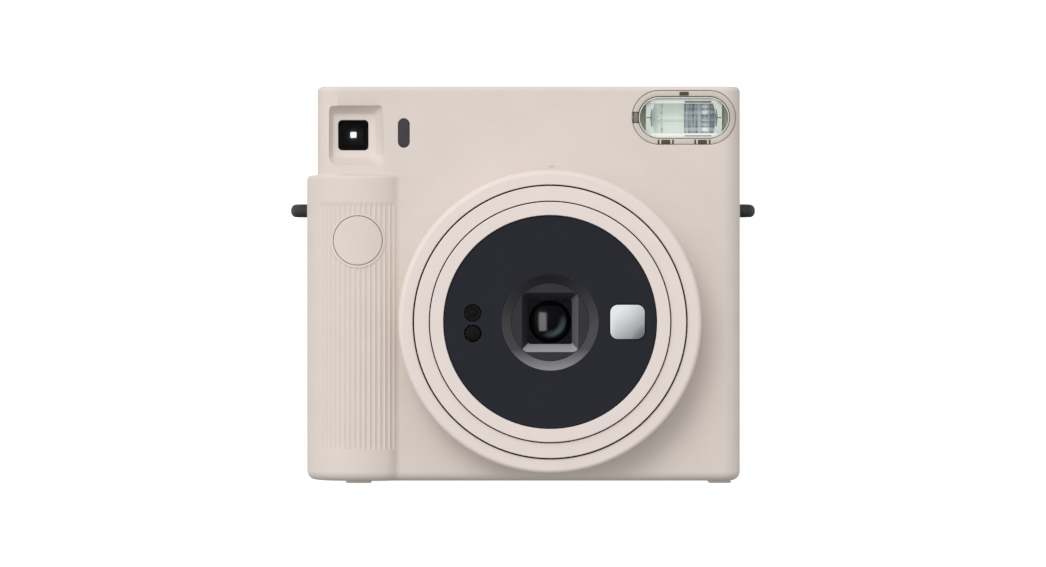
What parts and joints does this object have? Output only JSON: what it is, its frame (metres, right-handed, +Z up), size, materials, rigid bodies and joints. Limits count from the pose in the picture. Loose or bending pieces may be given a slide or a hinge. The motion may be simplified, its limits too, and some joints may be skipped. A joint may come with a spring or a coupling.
{
  "type": "instant camera",
  "caption": "Boxy square-format instant film camera with a fluted round grip, telescoping lens barrel, flash window and opening film and battery doors.",
  "frame": {"origin": "middle of the bounding box's footprint, on the surface the feet rest on", "axes": "+X to the right seen from the front, lens faces -Y, +Z up"},
  "size_m": [0.1412, 0.0576, 0.1194],
  "materials": {
    "cream": "fine satin grain",
    "ring_cream": "satin",
    "face_black": "satin",
    "hood_black": "matte",
    "inner_black": "matte",
    "rubber_black": "matte",
    "lens_glass": "coated",
    "finder_glass": "clear",
    "dark_window": "polished",
    "sensor_glass": "polished",
    "mirror": "polished",
    "flash_clear": "clear",
    "flash_metal": "polished",
    "tube_glass": "clear",
    "grey_plastic": "satin",
    "shutter_metal": "blackened",
    "can_black": "sleeved",
    "spring_steel": "bright",
    "pin_steel": "bright",
    "roller_steel": "ground",
    "switch_plastic": "satin",
    "pack_window": "tinted",
    "cell_wrap": "wrapped",
    "gear_nylon": "natural",
    "brass": "machined",
    "board": "lacquered",
    "dial_white": "satin",
    "rear_lights": "translucent"
  },
  "bodies": {
    "camera": {"front_cover": "cream", "rear_cover": "cream", "lens_collar": "ring_cream", "lens_base": "inner_black", "viewfinder_window": "finder_glass", "viewfinder_tube": "inner_black", "viewfinder_eyepiece": "finder_glass", "eyepiece_frame": "rubber_black", "light_window": "dark_window", "flash_window": "flash_clear", "flash_reflector": "flash_metal", "flash_tube": "tube_glass", "flash_frame": "grey_plastic", "flash_capacitor": "can_black", "button_spring": "spring_steel", "button_switch": "switch_plastic", "film_door_pin": "pin_steel", "door_seal": "rubber_black", "battery_door_pin": "pin_steel", "battery_cells": "cell_wrap", "battery_contacts": "spring_steel", "battery_holder": "inner_black", "strap_lugs": "rubber_black", "feet": "cream", "main_frame": "inner_black", "film_pack": "grey_plastic", "roller_frame": "spring_steel", "drive_motor": "roller_steel", "circuit_board": "board", "rear_lights": "rear_lights", "case_screws": "pin_steel"},
    "ring": {"lens_ring": "ring_cream"},
    "barrel": {"lens_barrel": "ring_cream", "lens_face": "face_black", "lens_hood": "hood_black", "lens_cell": "hood_black", "front_lens": "lens_glass", "rear_lens": "lens_glass", "shutter_base": "inner_black", "shutter_cover": "shutter_metal", "light_sensor_lens": "sensor_glass", "flash_sensor_window": "dark_window", "selfie_mirror": "mirror"},
    "blade_a": {"shutter_blade_a": "shutter_metal"},
    "blade_b": {"shutter_blade_b": "shutter_metal"},
    "button": {"shutter_button": "cream"},
    "back_door": {"film_door": "cream", "film_door_window": "pack_window", "pressure_pads": "spring_steel", "latch_spring": "spring_steel"},
    "latch": {"door_latch": "grey_plastic"},
    "bay_door": {"battery_door": "cream"},
    "front_roller": {"roller_front": "roller_steel", "roller_front_gear": "gear_nylon"},
    "rear_roller": {"roller_rear": "roller_steel", "roller_rear_gear": "gear_nylon"},
    "idler": {"idler_gear": "gear_nylon"},
    "pinion": {"motor_pinion": "brass"},
    "claw": {"eject_claw": "spring_steel"},
    "counter": {"counter_dial": "dial_white"}
  },
  "joints": [
    {"name": "ring_turn", "type": "hinge", "parent": "camera", "child": "ring", "pos_m": [0.0081, -0.02, 0.0486], "axis": [0, -1, 0], "range_deg": [0, 60]},
    {"name": "barrel_extend", "type": "slide", "parent": "camera", "child": "barrel", "axis": [0, -1, 0], "range_m": [0, 0.012]},
    {"name": "blade_a_swing", "type": "hinge", "parent": "barrel", "child": "blade_a", "pos_m": [0.0056, -0.0172, 0.0356], "axis": [0, -1, 0], "range_deg": [0, 42], "stiffness_Nm_per_rad": 0.002},
    {"name": "blade_b_swing", "type": "hinge", "parent": "barrel", "child": "blade_b", "pos_m": [0.0106, -0.0166, 0.0356], "axis": [0, -1, 0], "range_deg": [-42, 0], "stiffness_Nm_per_rad": 0.002},
    {"name": "shutter_press", "type": "slide", "parent": "camera", "child": "button", "axis": [0, 1, 0], "range_m": [0, 0.0012], "stiffness_N_per_m": 1500, "deforming": ["button_spring"]},
    {"name": "film_door_swing", "type": "hinge", "parent": "camera", "child": "back_door", "pos_m": [0.0566, 0.027, 0.05925], "axis": [0, 0, -1], "range_deg": [0, 110]},
    {"name": "door_latch_slide", "type": "slide", "parent": "back_door", "child": "latch", "axis": [1, 0, 0], "range_m": [0, 0.0022], "stiffness_N_per_m": 300, "deforming": ["latch_spring"]},
    {"name": "battery_door_swing", "type": "hinge", "parent": "camera", "child": "bay_door", "pos_m": [-0.064, 0.0072, 0.04], "axis": [0, 0, 1], "range_deg": [0, 90]},
    {"name": "front_roller_spin", "type": "hinge", "parent": "camera", "child": "front_roller", "pos_m": [0.008, 0.0058, 0.1046], "axis": [1, 0, 0], "continuous": true},
    {"name": "rear_roller_spin", "type": "hinge", "parent": "camera", "child": "rear_roller", "pos_m": [0.008, 0.0138, 0.1046], "axis": [1, 0, 0], "continuous": true},
    {"name": "idler_spin", "type": "hinge", "parent": "camera", "child": "idler", "pos_m": [0.0515, 0.0058, 0.0946], "axis": [1, 0, 0], "continuous": true},
    {"name": "pinion_spin", "type": "hinge", "parent": "camera", "child": "pinion", "pos_m": [0.0515, -0.00241, 0.0968], "axis": [1, 0, 0], "continuous": true},
    {"name": "claw_slide", "type": "slide", "parent": "camera", "child": "claw", "axis": [0, 0, 1], "range_m": [0, 0.006]},
    {"name": "counter_turn", "type": "hinge", "parent": "camera", "child": "counter", "pos_m": [-0.053, 0.0229, 0.079], "axis": [0, 1, 0], "range_deg": [0, 300]}
  ],
  "couplings": [
    {"joint": "barrel_extend", "follows": "ring_turn", "m_per_rad": 0.011459},
    {"joint": "blade_b_swing", "follows": "blade_a_swing", "ratio": -1},
    {"joint": "rear_roller_spin", "follows": "front_roller_spin", "ratio": -1},
    {"joint": "idler_spin", "follows": "front_roller_spin", "ratio": -0.66667},
    {"joint": "pinion_spin", "follows": "front_roller_spin", "ratio": 1.6}
  ]
}
